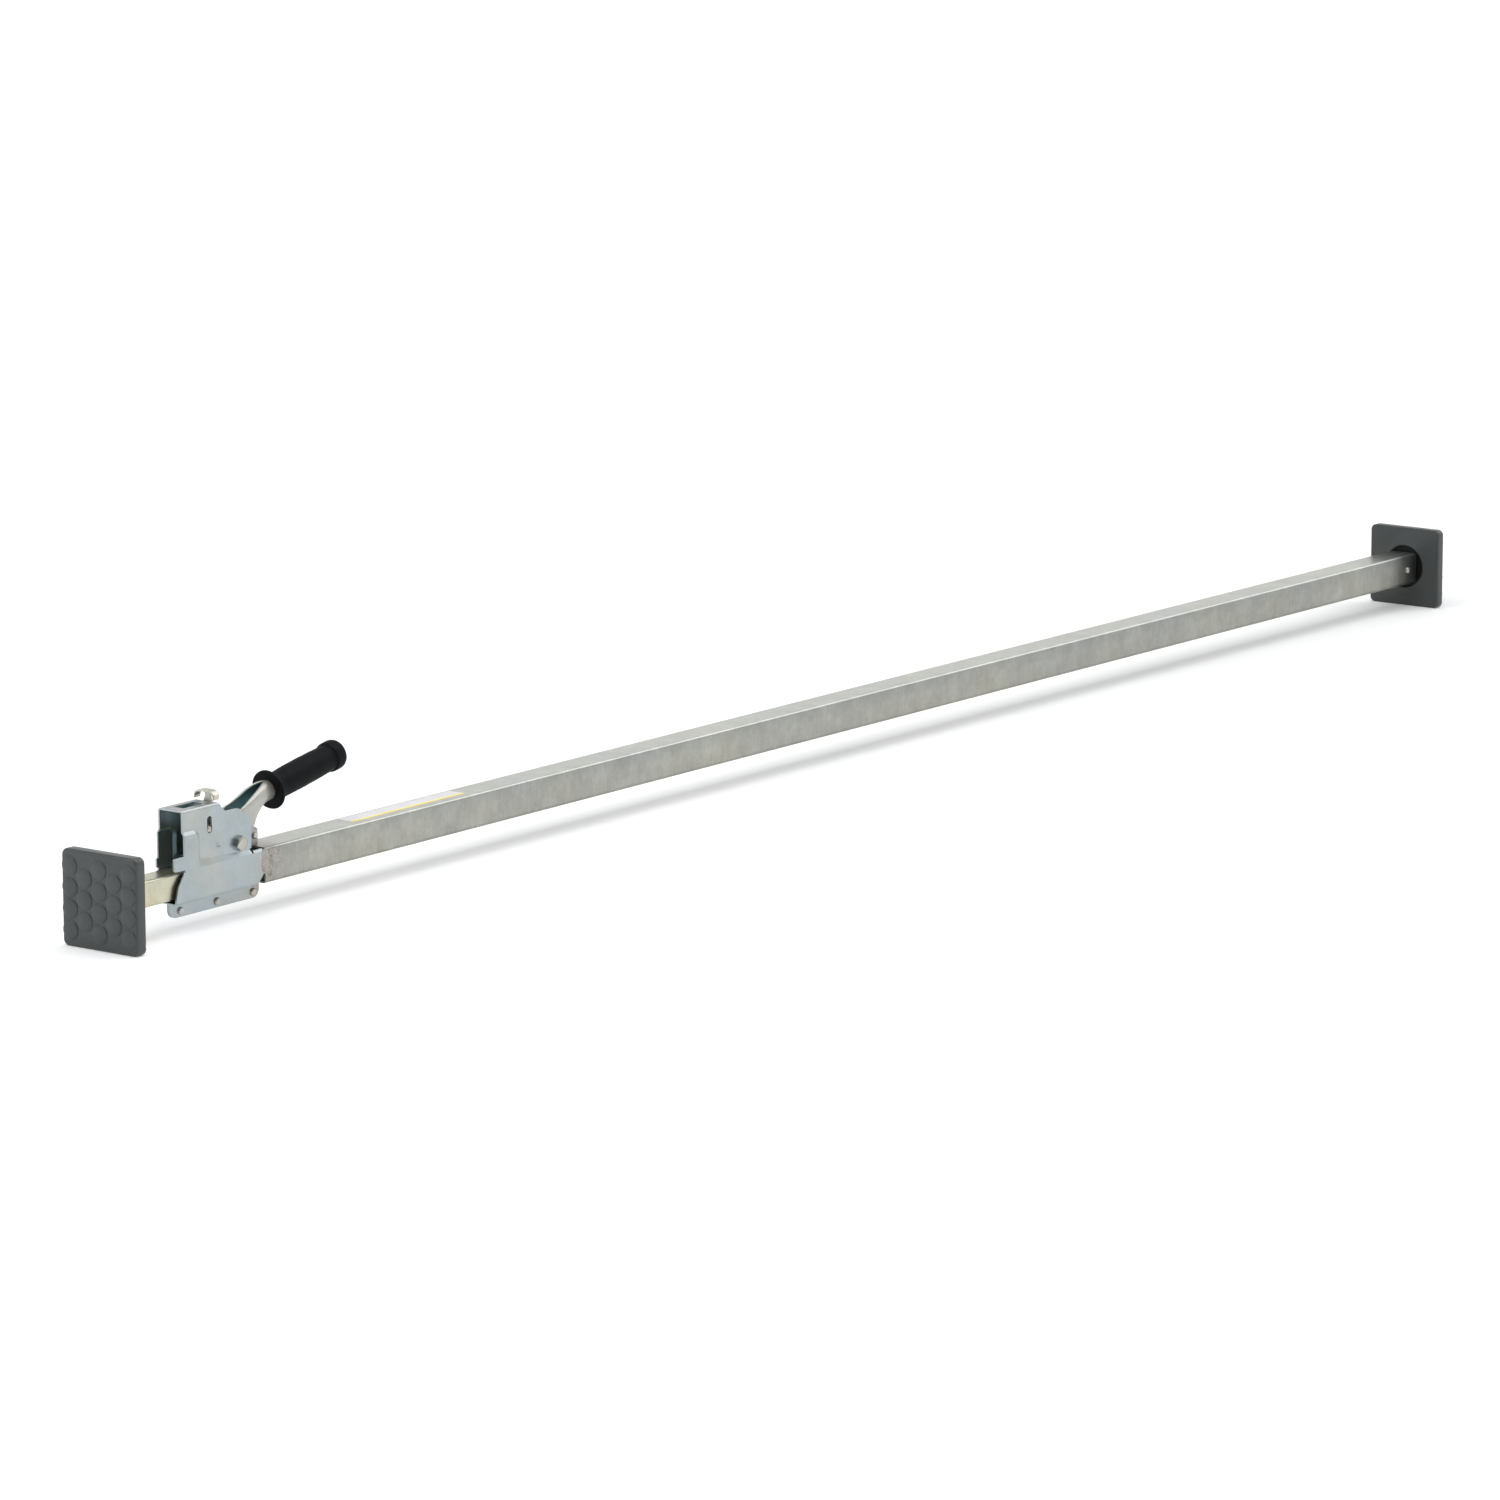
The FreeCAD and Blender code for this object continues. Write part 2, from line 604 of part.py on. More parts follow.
def make_lock_pawl():
    """Strut from the cross pin down to a serrated foot on the inner tube."""
    top = inner_side / 2
    half = 4.7
    foot_x = 142.5
    arm = side_plate([(foot_x, top + 1.4), (foot_x, top + 7, 2), (slot_x - 5.9, cross_pin_z),
                      (slot_x + 5.9, cross_pin_z), (foot_x + 8, top + 1.4)], -half, half)
    eye = cross_rod(slot_x, cross_pin_z, 5.9, -half, half)
    foot = serrated_foot(foot_x, top + 0.4, 4, half)
    bore = cross_rod(slot_x, cross_pin_z, cross_pin_radius + pivot_gap, -40, 40)
    return fused([arm, eye, foot]).cut(bore)


def make_lock_pawl_spring():
    """Torsion coil round the cross pin, beside the carrier's lug."""
    return coil(4.5, 0.6, 1.6, 2.5, V(slot_x, 8.2, cross_pin_z), V(0, 1, 0))


def make_blank_label():
    """Plain sticker along the outer tube's top, near the jack."""
    return box(391, 578, -8, 14, outer_side / 2, outer_side / 2 + 0.15)


nodes = {
    "outer_tube": make_outer_tube(),
    "housing": make_housing(),
    "flange_rivets": make_flange_rivets(),
    "tail_rivet": make_tail_rivet(),
    "weld_beads": make_weld_beads(),
    "pivot_bolt": make_pivot_bolt(),
    "pivot_nut": make_pivot_nut(),
    "pivot_washers": make_pivot_washers(),
    "stop_pin": make_stop_pin(),
    "lower_guide": make_lower_guide(),
    "mouth_bush": make_mouth_bush(),
    "blank_label": make_blank_label(),
    "fixed_foot_rivet": make_foot_rivet(outer_side, bar_length - foot_rivet_offset, fixed_foot_rivet_head),
    "inner_tube": make_inner_tube(),
    "end_glide": make_end_glide(),
    "sliding_foot_rivet": make_foot_rivet(inner_side, foot_rivet_offset, sliding_foot_rivet_head),
    "sliding_foot_pad": make_pad(),
    "sliding_foot_stem": make_foot_stem(inner_side - 2 * inner_wall),
    "fixed_foot_pad": at_fixed_end(make_pad()),
    "fixed_foot_stem": at_fixed_end(make_foot_stem(outer_side - 2 * outer_wall)),
    "lever": make_lever(),
    "grip": make_grip(),
    "pivot_bush": make_pivot_bush(),
    "drive_pin": make_drive_pin(),
    "drive_pawl": make_drive_pawl(),
    "drive_pawl_spring": make_drive_pawl_spring(),
    "release_handle": make_release_handle(),
    "release_carrier": make_release_carrier(),
    "cross_pin": make_cross_pin(),
    "release_spring": make_release_spring(),
    "lock_pawl": make_lock_pawl(),
    "lock_pawl_spring": make_lock_pawl_spring(),
}
for name, shape in nodes.items():
    export(name, shape)
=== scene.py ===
import bpy
import bmesh
import json
import math
from mathutils import Matrix, Vector, noise


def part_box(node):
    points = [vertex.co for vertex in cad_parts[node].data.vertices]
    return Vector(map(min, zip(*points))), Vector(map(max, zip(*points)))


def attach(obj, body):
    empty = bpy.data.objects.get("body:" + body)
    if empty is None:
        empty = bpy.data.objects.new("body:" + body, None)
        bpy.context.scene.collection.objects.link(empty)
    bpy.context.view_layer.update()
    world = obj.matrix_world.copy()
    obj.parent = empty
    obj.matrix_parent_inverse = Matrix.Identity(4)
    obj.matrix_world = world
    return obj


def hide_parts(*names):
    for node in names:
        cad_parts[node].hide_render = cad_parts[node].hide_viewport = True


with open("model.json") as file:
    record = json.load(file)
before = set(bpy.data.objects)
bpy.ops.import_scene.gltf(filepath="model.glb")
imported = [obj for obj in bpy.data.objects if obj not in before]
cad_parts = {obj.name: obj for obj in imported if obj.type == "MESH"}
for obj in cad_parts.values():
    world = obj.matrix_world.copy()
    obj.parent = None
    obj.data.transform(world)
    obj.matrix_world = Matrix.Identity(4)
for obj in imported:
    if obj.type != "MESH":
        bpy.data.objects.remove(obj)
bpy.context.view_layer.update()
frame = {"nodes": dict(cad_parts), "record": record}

MM = 0.001
pad_low, pad_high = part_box("sliding_foot_pad")
FACE_X = pad_low.x                       # the sliding foot's gripping face
AXIS_Z = (pad_low.z + pad_high.z) / 2    # the bar's axis

# The bar, in mm. Places are measured along the bar from the sliding foot's face, and up from the bar's axis.
BAR_LENGTH = 2527.0
TUBE_SIDE = 38.1
TUBE_HALF = TUBE_SIDE / 2
TUBE_HEIGHT = 31.75                      # from the floor to the outer tube's lower face
WELD_X = 236.3
PLATE_SCORCH_X = 236.0


def at(x, y, z):
    """A point in metres, from mm along the bar from the sliding foot's face, across it and above its axis."""
    return Vector((FACE_X + x * MM, y * MM, AXIS_Z + z * MM))


# ---- camera, light and floor ----
CAMERA_PLACE = (-5138.7, -4680.0, 1524.9)    # mm, in the bar's own measures
CAMERA_AZIMUTH = -53.1257
CAMERA_ELEVATION = 11.1869
CAMERA_ROLL = -0.1066
LENS = 167.906
SENSOR = 36
VIEW_END = 60                                # metres
LIGHTS = (                                   # name, place, target and size in metres, power in watts
    ("key", (-0.9, -0.8, 3.4), (0, 0, 0), 4.5, 85),
    ("front", (-3.7, 1.7, 2.3), (-0.9, 0, 0.1), 1.1, 36),
)
CAMERA_SIDE = (-0.80, -0.60, 0.0)
CAMERA_SIDE_GREY = (0.13, 0.17, 0.19)
OVERHEAD_GREY = (0.50, 0.51, 0.52)
WINDOW_SIDE = (0.72, -0.22, 0.66)
WINDOW_STRENGTH = 1.6
WHITE = (1, 1, 1)
FLOOR_REACH = 14                             # metres
FLOOR_GLOW = (0.16, 0.85)                    # emission near the bar and far from it
FLOOR_GLOW_REACH = (1.2, 6.0)                # metres


def make_camera():
    """The camera at the photograph's viewing angle."""
    data = bpy.data.cameras.new("camera")
    data.sensor_width = SENSOR
    data.lens = LENS
    data.clip_end = VIEW_END
    camera = bpy.data.objects.new("camera", data)
    bpy.context.collection.objects.link(camera)
    camera.location = at(*CAMERA_PLACE)
    azimuth = math.radians(CAMERA_AZIMUTH)
    elevation = math.radians(CAMERA_ELEVATION)
    ahead = Vector((-math.sin(azimuth) * math.cos(elevation), math.cos(azimuth) * math.cos(elevation),
                    -math.sin(elevation)))
    aim = ahead.to_track_quat("-Z", "Y").to_matrix() @ Matrix.Rotation(math.radians(CAMERA_ROLL), 3, "Z")
    camera.rotation_mode = "QUATERNION"
    camera.rotation_quaternion = aim.to_quaternion()
    bpy.context.scene.camera = camera


def area_light(name, place, target, size, power):
    """A round soft light."""
    data = bpy.data.lights.new(name, "AREA")
    data.shape = "DISK"
    data.size = size
    data.energy = power
    light = bpy.data.objects.new(name, data)
    bpy.context.collection.objects.link(light)
    light.location = place
    light.rotation_mode = "QUATERNION"
    light.rotation_quaternion = (Vector(target) - Vector(place)).to_track_quat("-Z", "Y")


def make_lights():
    """White surroundings, grey on the camera's side and overhead, with a soft window, and the two lights."""
    world = bpy.data.worlds.new("studio")
    world.use_nodes = True
    sky = Graph(world.node_tree, "Generated")
    camera_side = sky.span(sky.dot(sky.place, CAMERA_SIDE), 0, 1, -1, 1)
    fall = sky.ramp(camera_side, [(0.5, WHITE), (0.95, CAMERA_SIDE_GREY)])
    dome = sky.ramp(sky.axis("Z"), [(0.30, WHITE), (0.62, OVERHEAD_GREY)])
    window = sky.span(sky.dot(sky.place, WINDOW_SIDE), 0, WINDOW_STRENGTH, 0.90, 0.96)
    walls = sky.mix(1.0, fall, dome, "MULTIPLY")
    background = sky.nodes["Background"]
    sky.links.new(sky.mix(1.0, walls, window, "ADD"), background.inputs["Color"])
    background.inputs["Strength"].default_value = 1.0
    bpy.context.scene.world = world
    bpy.context.scene.view_settings.view_transform = "Standard"
    for light in LIGHTS:
        area_light(*light)


def make_floor():
    """A plain pale floor that brightens with distance, so that it stays white behind the bar."""
    mesh = bpy.data.meshes.new("floor")
    far = FLOOR_REACH
    mesh.from_pydata([(-far, -far, 0), (far, -far, 0), (far, far, 0), (-far, far, 0)], [], [(0, 1, 2, 3)])
    floor = bpy.data.objects.new("floor", mesh)
    bpy.context.collection.objects.link(floor)
    shader = Shader("floor")
    clouds = shader.noise(3)
    shader.link(shader.ramp(clouds, [(0.3, (0.90, 0.90, 0.90)), (0.7, (0.93, 0.93, 0.93))]), "Base Color")
    shader.link(shader.span(clouds, 0.85, 0.95), "Roughness")
    shader.set("Emission Color", (1, 1, 1, 1))
    distance = shader.nodes.new("ShaderNodeVectorMath")
    distance.operation = "LENGTH"
    shader.links.new(shader.place, distance.inputs[0])
    glow = shader.span(distance.outputs["Value"], *FLOOR_GLOW, *FLOOR_GLOW_REACH)
    shader.link(glow, "Emission Strength")
    floor.data.materials.append(shader.material)


# ---- nodes ----
class Graph:
    """A tree of nodes added one call at a time. place is what its textures are laid out in."""

    def __init__(self, tree, coordinates):
        self.nodes = tree.nodes
        self.links = tree.links
        self.place = self.nodes.new("ShaderNodeTexCoord").outputs[coordinates]

    def stretched(self, x, y, z):
        node = self.nodes.new("ShaderNodeMapping")
        node.inputs["Scale"].default_value = (x, y, z)
        self.links.new(self.place, node.inputs["Vector"])
        return node.outputs["Vector"]

    def noise(self, scale, detail=4, rough=0.55, place=None):
        node = self.nodes.new("ShaderNodeTexNoise")
        node.inputs["Scale"].default_value = scale
        node.inputs["Detail"].default_value = detail
        node.inputs["Roughness"].default_value = rough
        self.links.new(place or self.place, node.inputs["Vector"])
        return node.outputs["Fac"]

    def cells(self, scale, place):
        node = self.nodes.new("ShaderNodeTexVoronoi")
        node.inputs["Scale"].default_value = scale
        self.links.new(place, node.inputs["Vector"])
        return node.outputs["Color"]

    def ramp(self, value, stops):
        node = self.nodes.new("ShaderNodeValToRGB")
        ramp = node.color_ramp
        while len(ramp.elements) < len(stops):
            ramp.elements.new(0.5)
        for element, (position, colour) in zip(ramp.elements, stops):
            element.position = position
            element.color = (*colour, 1)
        self.links.new(value, node.inputs["Fac"])
        return node.outputs["Color"]

    def span(self, value, low, high, from_low=0.3, from_high=0.7):
        """The value mapped to a range of numbers."""
        node = self.nodes.new("ShaderNodeMapRange")
        node.inputs["From Min"].default_value = from_low
        node.inputs["From Max"].default_value = from_high
        node.inputs["To Min"].default_value = low
        node.inputs["To Max"].default_value = high
        self.links.new(value, node.inputs["Value"])
        return node.outputs["Result"]

    def dot(self, first, second):
        """The dot product of a vector output with another one or with fixed numbers."""
        node = self.nodes.new("ShaderNodeVectorMath")
        node.operation = "DOT_PRODUCT"
        self.links.new(first, node.inputs[0])
        if isinstance(second, tuple):
            node.inputs[1].default_value = second
        else:
            self.links.new(second, node.inputs[1])
        return node.outputs["Value"]

    def mix(self, factor, first, second, how="MIX"):
        node = self.nodes.new("ShaderNodeMix")
        node.data_type = "RGBA"
        node.blend_type = how
        for value, index in ((factor, 0), (first, 6), (second, 7)):
            if isinstance(value, (int, float)):
                node.inputs[index].default_value = value
            elif isinstance(value, tuple):
                node.inputs[index].default_value = (*value, 1)
            else:
                self.links.new(value, node.inputs[index])
        return node.outputs[2]

    def axis(self, name, vector=None):
        """One number of a vector, or of the place when no vector is given."""
        node = self.nodes.new("ShaderNodeSeparateXYZ")
        self.links.new(vector or self.place, node.inputs["Vector"])
        return node.outputs[name]

    def shifted(self, value, wobble, reach):
        """The value moved up and down by a wobble that ranges about 0.5."""
        moved = self.nodes.new("ShaderNodeMath")
        moved.operation = "MULTIPLY_ADD"
        moved.inputs[1].default_value = reach
        self.links.new(wobble, moved.inputs[0])
        self.links.new(value, moved.inputs[2])
        return moved.outputs["Value"]


class Shader(Graph):
    """A material with one Principled surface."""

    def __init__(self, name):
        self.material = bpy.data.materials.new(name)
        self.material.use_nodes = True
        super().__init__(self.material.node_tree, "Object")
        self.surface = self.nodes["Principled BSDF"]

    def set(self, socket, value):
        self.surface.inputs[socket].default_value = value

    def link(self, output, socket):
        self.links.new(output, self.surface.inputs[socket])

    def rounded(self, radius):
        """The normal with its edges rounded off, and a mask that is 1 on them."""
        soft = self.nodes.new("ShaderNodeBevel")
        soft.samples = 6
        soft.inputs["Radius"].default_value = radius
        sharp = self.nodes.new("ShaderNodeNewGeometry").outputs["Normal"]
        edge = self.span(self.dot(soft.outputs["Normal"], sharp), 1, 0, 0.72, 0.97)
        return soft.outputs["Normal"], edge

    def scorched(self, x, reach):
        """A ragged mask that is 1 at the weld, x mm along the bar, and fades over the reach."""
        away = self.nodes.new("ShaderNodeMath")
        away.operation = "SUBTRACT"
        away.inputs[1].default_value = at(x, 0, 0).x
        ragged = self.shifted(self.axis("X"), self.noise(90, 5, 0.65), -0.014)
        self.links.new(ragged, away.inputs[0])
        size = self.nodes.new("ShaderNodeMath")
        size.operation = "ABSOLUTE"
        self.links.new(away.outputs["Value"], size.inputs[0])
        return self.span(size.outputs["Value"], 0.75, 0, 0.004, reach * MM)

    def bump(self, height, distance, normal=None):
        node = self.nodes.new("ShaderNodeBump")
        node.inputs["Distance"].default_value = distance
        self.links.new(height, node.inputs["Height"])
        if normal:
            self.links.new(normal, node.inputs["Normal"])
        self.link(node.outputs["Normal"], "Normal")


# ---- materials ----
# Tints that multiply the plated steel's tone, then the dark and light tones of scorched metal.
WARM_TINT = (1.05, 1.0, 0.92)
COOL_TINT = (0.97, 1.0, 1.03)
SPOT_TINT = (0.88, 0.87, 0.84)
PLATE_SCORCH = ((0.15, 0.14, 0.135), (0.46, 0.42, 0.385))
TUBE_SCORCH = ((0.15, 0.138, 0.125), (0.44, 0.405, 0.37))
RECESS_DEPTH = 0.045                     # metres: how far the painted shade of recesses looks for walls
SHADED_END_LENGTH = 0.12                          # metres of tube with a painted shade, a dark reflection, that deepens towards the fixed foot
LABEL_BAND = 4.2                         # width of the label's yellow band


def plated_steel(name, dark, light, metal=0.95, rough=(0.27, 0.42), grain=0.00003, edge=0.0004,
                 worn_and_lit=(0.62, 0.62, 0.60), shade=None, shade_span=(0.15, 0.75), weld=None):
    """Zinc-plated steel: cloudy tone, faint scratches, darker spots, and bright edges, partly rubbed bright
    and partly a painted highlight.

    Recesses take a painted shade, if there is one: they are darkened and tinted by how closed in they are.
    weld is where the plate is scorched, and how far, in mm.
    """
    s = Shader(name)
    clouds = s.noise(24, 6, 0.6)
    fine = s.noise(800, 3, place=s.stretched(0.3, 1, 1))
    tone = s.ramp(s.mix(0.25, clouds, fine), [(0.30, dark), (0.70, light)])
    spots = s.ramp(s.noise(170, 3), [(0.64, WHITE), (0.80, SPOT_TINT)])
    drift = s.ramp(s.noise(16, 2), [(0.36, WARM_TINT), (0.62, COOL_TINT)])
    tone = s.mix(1.0, s.mix(1.0, tone, spots, "MULTIPLY"), drift, "MULTIPLY")
    # Edges lighter: partly rubbed bright and partly a painted highlight.
    soft, edges = s.rounded(edge)
    wear_and_highlight = s.mix(1.0, edges, s.span(s.noise(120, 3), 0.15, 0.9, 0.35, 0.6), "MULTIPLY")
    # Painted shade in recesses, from ambient occlusion.
    if shade:
        depth = s.nodes.new("ShaderNodeAmbientOcclusion")
        depth.samples = 6
        depth.only_local = True
        depth.inputs["Distance"].default_value = RECESS_DEPTH
        shaded, clear = shade_span
        tone = s.mix(1.0, tone, s.ramp(depth.outputs["AO"], [(shaded, shade), (clear, WHITE)]), "MULTIPLY")
    if weld:
        burnt = s.ramp(s.noise(260, 5, 0.7), list(zip((0.36, 0.64), PLATE_SCORCH)))
        tone = s.mix(s.scorched(*weld), tone, burnt)
    s.link(s.mix(wear_and_highlight, tone, worn_and_lit), "Base Color")
    s.set("Metallic", metal)
    s.link(s.span(s.mix(0.4, clouds, fine), *rough), "Roughness")
    s.bump(fine, grain, normal=soft)
    return s.material


def galvanised():
    """Galvanised tube: mottled grey with faint streaks, a spangle, a painted shade along its lower edge and
    top, painted light on its upper faces, a painted dark reflection towards the fixed foot, lighter edges as
    a painted highlight, and a scorched weld.
    """
    s = Shader("galvanised_tube")
    spangle = s.cells(170, s.stretched(1, 1, 0.7))
    streaks = s.noise(420, 5, 0.7, place=s.stretched(1, 0.6, 0.09))
    clouds = s.noise(40, 7, 0.72)
    specks = s.noise(260, 3, 0.6)
    tone = s.ramp(s.mix(0.3, clouds, streaks),
                  [(0.30, (0.275, 0.272, 0.245)), (0.50, (0.345, 0.345, 0.32)), (0.72, (0.44, 0.443, 0.42))])
    patches = s.ramp(s.noise(11, 4, 0.6), [(0.36, (0.955, 0.96, 0.965)), (0.66, (1.03, 1.02, 0.97))])
    pits = s.ramp(specks, [(0.66, WHITE), (0.78, (0.80, 0.78, 0.72))])
    # Painted shade: darker along the tube's lower edge, and faintly bluish and darker along its top.
    low = TUBE_HEIGHT * MM
    rise = s.span(s.shifted(s.axis("Z"), streaks, 0.004), 0, 1, low, low + TUBE_SIDE * MM)
    painted_band_shade = s.ramp(rise, [(0.10, (0.80, 0.79, 0.77)), (0.17, (0.99, 0.99, 0.98)), (0.62, WHITE),
                          (0.95, (0.90, 0.92, 0.95))])
    spangle_tone = s.ramp(spangle, [(0.0, (0.95, 0.95, 0.95)), (1.0, (1.03, 1.03, 1.03))])
    # Painted light: faces that look upwards are made lighter.
    upward = s.axis("Z", s.nodes.new("ShaderNodeNewGeometry").outputs["Normal"])
    painted_top_light = s.ramp(upward, [(0.3, WHITE), (0.9, (1.72, 1.72, 1.68))])
    # Painted shade: a dark reflection that deepens over the tube's last stretch before the fixed foot.
    foot = at(BAR_LENGTH - 16, 0, 0).x
    painted_end_shade = s.ramp(s.span(s.axis("X"), 0, 1, foot - SHADED_END_LENGTH, foot),
                  [(0, WHITE), (0.7, (0.72, 0.73, 0.76)), (1, (0.5, 0.52, 0.55))])
    for layer in (patches, pits, painted_band_shade, spangle_tone, painted_top_light, painted_end_shade):
        tone = s.mix(1.0, tone, layer, "MULTIPLY")
    burnt = s.ramp(s.noise(230, 5, 0.7), list(zip((0.35, 0.66), TUBE_SCORCH)))
    tone = s.mix(s.scorched(WELD_X, 26), tone, burnt)
    # Rounded edges lighter: a painted highlight along them.
    soft, edges = s.rounded(0.0005)
    s.link(s.mix(s.span(edges, 0, 0.7, 0, 1), tone, (0.56, 0.57, 0.56)), "Base Color")
    s.set("Metallic", 0.92)
    s.link(s.span(s.mix(0.5, streaks, clouds), 0.26, 0.40), "Roughness")
    s.bump(s.mix(0.5, streaks, specks), 0.00005, normal=soft)
    return s.material


def rubber(name, dark, light, rough, grain, bump, shine):
    """Moulded rubber: a fine pebbled skin with a little dust in it."""
    s = Shader(name)
    skin = s.noise(grain, 3, 0.6)
    clouds = s.noise(30, 5, 0.65)
    s.link(s.ramp(s.mix(0.3, clouds, skin), [(0.3, dark), (0.7, light)]), "Base Color")
    s.link(s.span(clouds, rough - 0.06, rough + 0.07), "Roughness")
    s.set("Specular IOR Level", shine)
    s.bump(skin, bump)
    return s.material


def nylon():
    """Dark moulded nylon with a faint grain."""
    s = Shader("nylon")
    clouds = s.noise(60)
    s.link(s.ramp(clouds, [(0.3, (0.030, 0.031, 0.033)), (0.7, (0.046, 0.047, 0.05))]), "Base Color")
    s.link(s.span(clouds, 0.42, 0.55), "Roughness")
    s.bump(s.noise(700, 2), 0.00003)
    return s.material


def label_film():
    """Plain sticker with a yellow edge band and no lettering."""
    s = Shader("label")
    clouds = s.noise(40)
    band_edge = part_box("blank_label")[0].y + LABEL_BAND * MM
    band = s.span(s.axis("Y"), 1, 0, band_edge - 0.1 * MM, band_edge + 0.1 * MM)
    white = s.ramp(clouds, [(0.3, (0.60, 0.60, 0.60)), (0.7, (0.69, 0.69, 0.69))])
    yellow = s.ramp(clouds, [(0.3, (0.86, 0.66, 0.13)), (0.7, (0.95, 0.76, 0.20))])
    s.link(s.mix(band, white, yellow), "Base Color")
    s.link(s.span(clouds, 0.34, 0.46), "Roughness")
    s.bump(s.noise(300, 2), 0.00002)
    return s.material


def make_materials():
    """One material for each slot, and one more for the lever."""
    return {
        "galvanised_tube": galvanised(),
        # The housing's, the lever's and the release's recesses take a painted shade; on the housing and the
        # lever it is tinted teal as a painted reflection.
        "zinc_plate": plated_steel(
            "zinc_plate", (0.31, 0.345, 0.355), (0.43, 0.465, 0.475), edge=0.0006, worn_and_lit=(0.74, 0.77, 0.78),
            shade=(0.28, 0.80, 1.0), shade_span=(0.10, 0.58), weld=(PLATE_SCORCH_X, 11)),
        "lever_zinc": plated_steel(
            "lever_zinc", (0.37, 0.36, 0.32), (0.50, 0.485, 0.44), rough=(0.30, 0.46), metal=0.72,
            shade=(0.62, 0.95, 1.06), shade_span=(0.35, 0.85)),
        "yellow_zinc": plated_steel(
            "yellow_zinc", (0.44, 0.42, 0.32), (0.64, 0.615, 0.485), rough=(0.24, 0.38),
            worn_and_lit=(0.82, 0.81, 0.74)),
        "rivet_steel": plated_steel("rivet_steel", (0.36, 0.355, 0.33), (0.54, 0.53, 0.50)),
        "bolt_steel": plated_steel("bolt_steel", (0.34, 0.325, 0.28), (0.52, 0.50, 0.44), rough=(0.16, 0.30)),
        "weld_metal": plated_steel(
            "weld_metal", (0.15, 0.14, 0.13), (0.52, 0.49, 0.46), rough=(0.2, 0.5), grain=0.0002),
        # stem_steel is almost black as painted shade: it stands for the shadow inside the fixed foot's
        # pocket.
        "stem_steel": plated_steel(
            "stem_steel", (0.008, 0.008, 0.008), (0.02, 0.02, 0.02), metal=0.6, rough=(0.5, 0.7)),
        "pawl_steel": plated_steel("pawl_steel", (0.22, 0.19, 0.12), (0.38, 0.33, 0.22)),
        "spring_steel": plated_steel("spring_steel", (0.22, 0.22, 0.21), (0.36, 0.36, 0.35)),
        "release_steel": plated_steel(
            "release_steel", (0.40, 0.39, 0.345), (0.58, 0.57, 0.51), shade=(0.25, 0.33, 0.36)),
        "nylon": nylon(),
        "pad_rubber": rubber(
            "pad_rubber", (0.032, 0.0365, 0.0355), (0.052, 0.058, 0.0565), 0.34, 900, 0.00006, 0.45),
        "grip_rubber": rubber(
            "grip_rubber", (0.003, 0.0036, 0.0042), (0.008, 0.0092, 0.0105), 0.55, 1100, 0.00012, 0.07),
        "label": label_film(),
    }


# ---- detailed pieces ----
def piece(name, vertices, faces, node, body, slot):
    """A smooth mesh from points in mm of the working frame, standing for a CAD node."""
    mesh = bpy.data.meshes.new(name)
    mesh.from_pydata([at(*v) for v in vertices], [], faces)
    shape = bmesh.new()
    shape.from_mesh(mesh)
    bmesh.ops.recalc_face_normals(shape, faces=shape.faces)
    shape.to_mesh(mesh)
    shape.free()
    mesh.shade_smooth()
    made = bpy.data.objects.new(name, mesh)
    bpy.context.collection.objects.link(made)
    made.data.materials.append(materials[slot])
    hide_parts(node)
    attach(made, body)
    return made


def lofted(rings, closed_ends=True):
    """Vertices and faces through rings of equal length."""
    count = len(rings[0])
    vertices = [v for ring in rings for v in ring]
    faces = []
    for i in range(len(rings) - 1):
        for j in range(count):
            k = (j + 1) % count
            faces.append((i * count + j, i * count + k, (i + 1) * count + k, (i + 1) * count + j))
    if closed_ends:
        faces.append(tuple(range(count)))
        faces.append(tuple(range((len(rings) - 1) * count, len(rings) * count)))
    return vertices, faces


def joined(shapes):
    """The vertices and faces of several shapes as those of one."""
    vertices = []
    faces = []
    for more, their_faces in shapes:
        start = len(vertices)
        vertices += more
        faces += [tuple(start + i for i in face) for face in their_faces]
    return vertices, faces


def turned(profile, place, count=48, ripple=0.0):
    """A profile of (distance along the axis, radius) turned round it. place(a, u, v) puts points in space."""
    rings = []
    for along, radius in profile:
        ring = []
        for j in range(count):
            angle = 2 * math.pi * j / count
            u, v = math.cos(angle), math.sin(angle)
            size = radius
            if ripple:
                size += ripple * noise.noise(Vector((along * 0.11, u * 1.6, v * 1.6)))
            ring.append(place(along, u * size, v * size))
        rings.append(ring)
    return lofted(rings)


def eased(points, rounds=2):
    """An open profile with its corners cut round."""
    for _ in range(rounds):
        cut = [points[0]]
        for (a, b), (c, d) in zip(points, points[1:]):
            cut += [(a * 0.75 + c * 0.25, b * 0.75 + d * 0.25), (a * 0.25 + c * 0.75, b * 0.25 + d * 0.75)]
        points = cut + [points[-1]]
    return points


# The rubber feet. Depths are from the gripping face, and a stud's profile gives depth and radius.
PAD_HALF = 50.8
PAD_CORNER = 7.0
PAD_FRONT = 1.5
PAD_BACK = 15.3
PAD_FRONT_RIM = 2.6
PAD_BACK_RIM = 1.3
POCKET_RADIUS = 26.8
POCKET_FLOOR = 8.3
POCKET_LIP = (                           # distance outside the pocket's radius, and height from the back
    (3.4, 0), (2.8, 0.3), (1.9, 0.45), (1.0, 0.3), (0.4, 0), (0, -0.6), (0, POCKET_FLOOR - PAD_BACK),
)
STUD = (
    (3.4, 10.2), (1.25, 10.2), (0.95, 10.0), (0.8, 9.5), (0.52, 7.8), (0.25, 5.6), (0.06, 2.8), (0.0, 0.02),
)
STUD_COLUMNS = (4, 3, 4, 3, 4)           # studs in each column
STUD_ACROSS = 19.8
STUD_UP = 22.3


